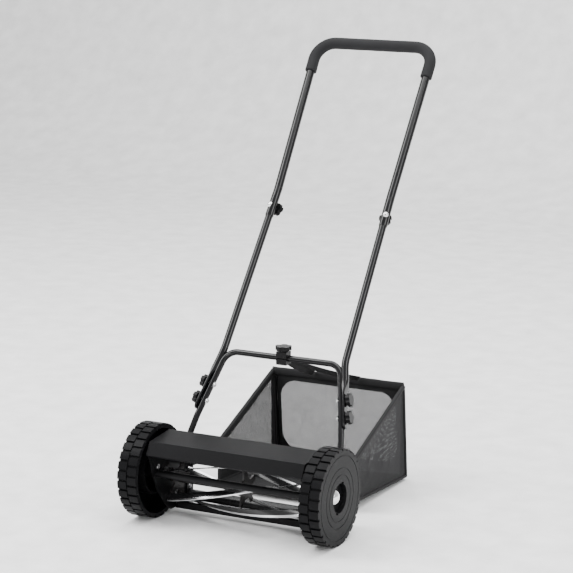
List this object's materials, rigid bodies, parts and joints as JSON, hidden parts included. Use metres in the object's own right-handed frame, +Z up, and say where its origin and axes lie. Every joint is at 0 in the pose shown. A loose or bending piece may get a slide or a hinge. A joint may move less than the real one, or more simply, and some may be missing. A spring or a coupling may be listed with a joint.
{
  "type": "reel mower",
  "caption": "Hand-pushed reel mower with geared wheels, helical cutting reel, bed knife, rear roller, bent tube handle with foam grip and a fabric grass catcher.",
  "frame": {"origin": "on the ground midway between the wheels, straight below their axles", "axes": "+Z up, -Y the way the mower is pushed, +X towards the left wheel"},
  "size_m": [0.48, 0.7912, 0.9977],
  "materials": {
    "plate_paint": "satin black",
    "cover_paint": "satin black with a soft sheen",
    "tube_paint": "semi-gloss black",
    "zinc": "zinc plated",
    "chrome": "polished",
    "bush_bronze": "sintered bronze",
    "blade_steel": "ground steel",
    "reel_paint": "dark satin",
    "gear_steel": "oiled steel",
    "wheel_plastic": "matt black",
    "knob_plastic": "matt black",
    "roller_plastic": "smooth black",
    "foam": "matt dark grey foam",
    "mesh_cloth": "open weave, light grey where light shows through",
    "floor_cloth": "coated black cloth",
    "webbing": "woven black webbing"
  },
  "bodies": {
    "chassis": {"side_plate_left": "plate_paint", "side_plate_right": "plate_paint", "tie_tube": "plate_paint", "tie_tube_bolts": "zinc", "cover_plate": "cover_paint", "cover_screws": "zinc", "axle_left": "zinc", "axle_right": "zinc", "axle_nuts": "zinc", "axle_caps": "chrome", "reel_bushes": "bush_bronze", "bed_bolts": "zinc", "frame_loop": "tube_paint", "loop_bolts": "zinc", "handle_lower_left": "tube_paint", "handle_lower_right": "tube_paint", "handle_upper": "tube_paint", "foam_grip": "foam", "joint_bolts": "chrome", "handle_bolts": "chrome", "saddle": "knob_plastic", "strap_hook": "knob_plastic", "hook_bolt": "zinc", "catcher_studs": "zinc", "height_bolts": "zinc"},
    "left_wheel": {"wheel_left": "wheel_plastic"},
    "right_wheel": {"wheel_right": "wheel_plastic"},
    "reel": {"reel_shaft": "reel_paint", "spider_left": "reel_paint", "spider_centre": "reel_paint", "spider_right": "reel_paint", "pinion_left": "gear_steel", "pawl_right": "gear_steel", "pinion_clips": "gear_steel", "reel_blade_1": "blade_steel", "reel_blade_2": "blade_steel", "reel_blade_3": "blade_steel", "reel_blade_4": "blade_steel", "reel_blade_5": "blade_steel"},
    "left_pawl": {"pawl_left": "gear_steel"},
    "right_pinion": {"pinion_right": "gear_steel"},
    "bed": {"bed_bar": "plate_paint", "bed_knife": "blade_steel"},
    "roller_carriage": {"roller_bracket_left": "plate_paint", "roller_bracket_right": "plate_paint", "roller_axle": "zinc"},
    "roller": {"roller": "roller_plastic"},
    "catcher": {"catcher_frame": "tube_paint", "catcher_back": "mesh_cloth", "catcher_side_left": "mesh_cloth", "catcher_side_right": "mesh_cloth", "catcher_floor": "floor_cloth", "catcher_strap": "webbing"},
    "joint_knob_left_body": {"joint_knob_left": "knob_plastic"},
    "joint_knob_right_body": {"joint_knob_right": "knob_plastic"},
    "handle_knob_left_top_body": {"handle_knob_left_top": "knob_plastic"},
    "handle_knob_left_low_body": {"handle_knob_left_low": "knob_plastic"},
    "handle_knob_right_top_body": {"handle_knob_right_top": "knob_plastic"},
    "handle_knob_right_low_body": {"handle_knob_right_low": "knob_plastic"},
    "hook_knob_body": {"hook_knob": "knob_plastic"}
  },
  "joints": [
    {"name": "wheel_left_spin", "type": "hinge", "parent": "chassis", "child": "left_wheel", "pos_m": [0.217, 0, 0.104], "axis": [1, 0, 0], "continuous": true},
    {"name": "wheel_right_spin", "type": "hinge", "parent": "chassis", "child": "right_wheel", "pos_m": [-0.217, 0, 0.104], "axis": [1, 0, 0], "continuous": true},
    {"name": "reel_spin", "type": "hinge", "parent": "chassis", "child": "reel", "pos_m": [0, 0.03145, 0.08198], "axis": [1, 0, 0], "continuous": true},
    {"name": "pinion_right_spin", "type": "hinge", "parent": "chassis", "child": "right_pinion", "pos_m": [-0.21, 0.03145, 0.08198], "axis": [1, 0, 0], "continuous": true},
    {"name": "pawl_left_slide", "type": "slide", "parent": "reel", "child": "left_pawl", "axis": [0, 1, 0], "range_m": [-0.004, 0]},
    {"name": "bed_knife_adjust", "type": "hinge", "parent": "chassis", "child": "bed", "pos_m": [0, 0.05946, 0.03798], "axis": [1, 0, 0], "range_deg": [0, 1.5]},
    {"name": "height_adjust", "type": "slide", "parent": "chassis", "child": "roller_carriage", "axis": [0, 0, 1], "range_m": [-0.018, 0]},
    {"name": "roller_spin", "type": "hinge", "parent": "roller_carriage", "child": "roller", "pos_m": [0, 0.104, 0.018], "axis": [1, 0, 0], "continuous": true},
    {"name": "catcher_lift", "type": "hinge", "parent": "chassis", "child": "catcher", "pos_m": [0, 0.114, 0.098], "axis": [1, 0, 0], "range_deg": [0, 30], "deforming": ["catcher_strap"]},
    {"name": "joint_knob_left_turn", "type": "hinge", "parent": "chassis", "child": "joint_knob_left_body", "pos_m": [0.14209, 0.4275, 0.629], "axis": [-0.3583, 0.7441, -0.5638], "continuous": true},
    {"name": "joint_knob_right_turn", "type": "hinge", "parent": "chassis", "child": "joint_knob_right_body", "pos_m": [-0.14209, 0.4275, 0.629], "axis": [0.3583, 0.7441, -0.5638], "continuous": true},
    {"name": "handle_knob_left_top_turn", "type": "hinge", "parent": "chassis", "child": "handle_knob_left_top_body", "pos_m": [0.15906, 0.1705, 0.26461], "axis": [0.972, 0.1119, 0.2068], "continuous": true},
    {"name": "handle_knob_left_low_turn", "type": "hinge", "parent": "chassis", "child": "handle_knob_left_low_body", "pos_m": [0.16834, 0.15223, 0.23084], "axis": [0.972, 0.1119, 0.2068], "continuous": true},
    {"name": "handle_knob_right_top_turn", "type": "hinge", "parent": "chassis", "child": "handle_knob_right_top_body", "pos_m": [-0.15906, 0.1705, 0.26461], "axis": [-0.972, 0.1119, 0.2068], "continuous": true},
    {"name": "handle_knob_right_low_turn", "type": "hinge", "parent": "chassis", "child": "handle_knob_right_low_body", "pos_m": [-0.16834, 0.15223, 0.23084], "axis": [-0.972, 0.1119, 0.2068], "continuous": true},
    {"name": "hook_knob_turn", "type": "hinge", "parent": "chassis", "child": "hook_knob_body", "pos_m": [0, 0.20803, 0.334], "axis": [0, 0, 1], "continuous": true}
  ],
  "couplings": [
    {"joint": "reel_spin", "follows": "wheel_left_spin", "ratio": 5},
    {"joint": "pinion_right_spin", "follows": "wheel_right_spin", "ratio": 5}
  ]
}
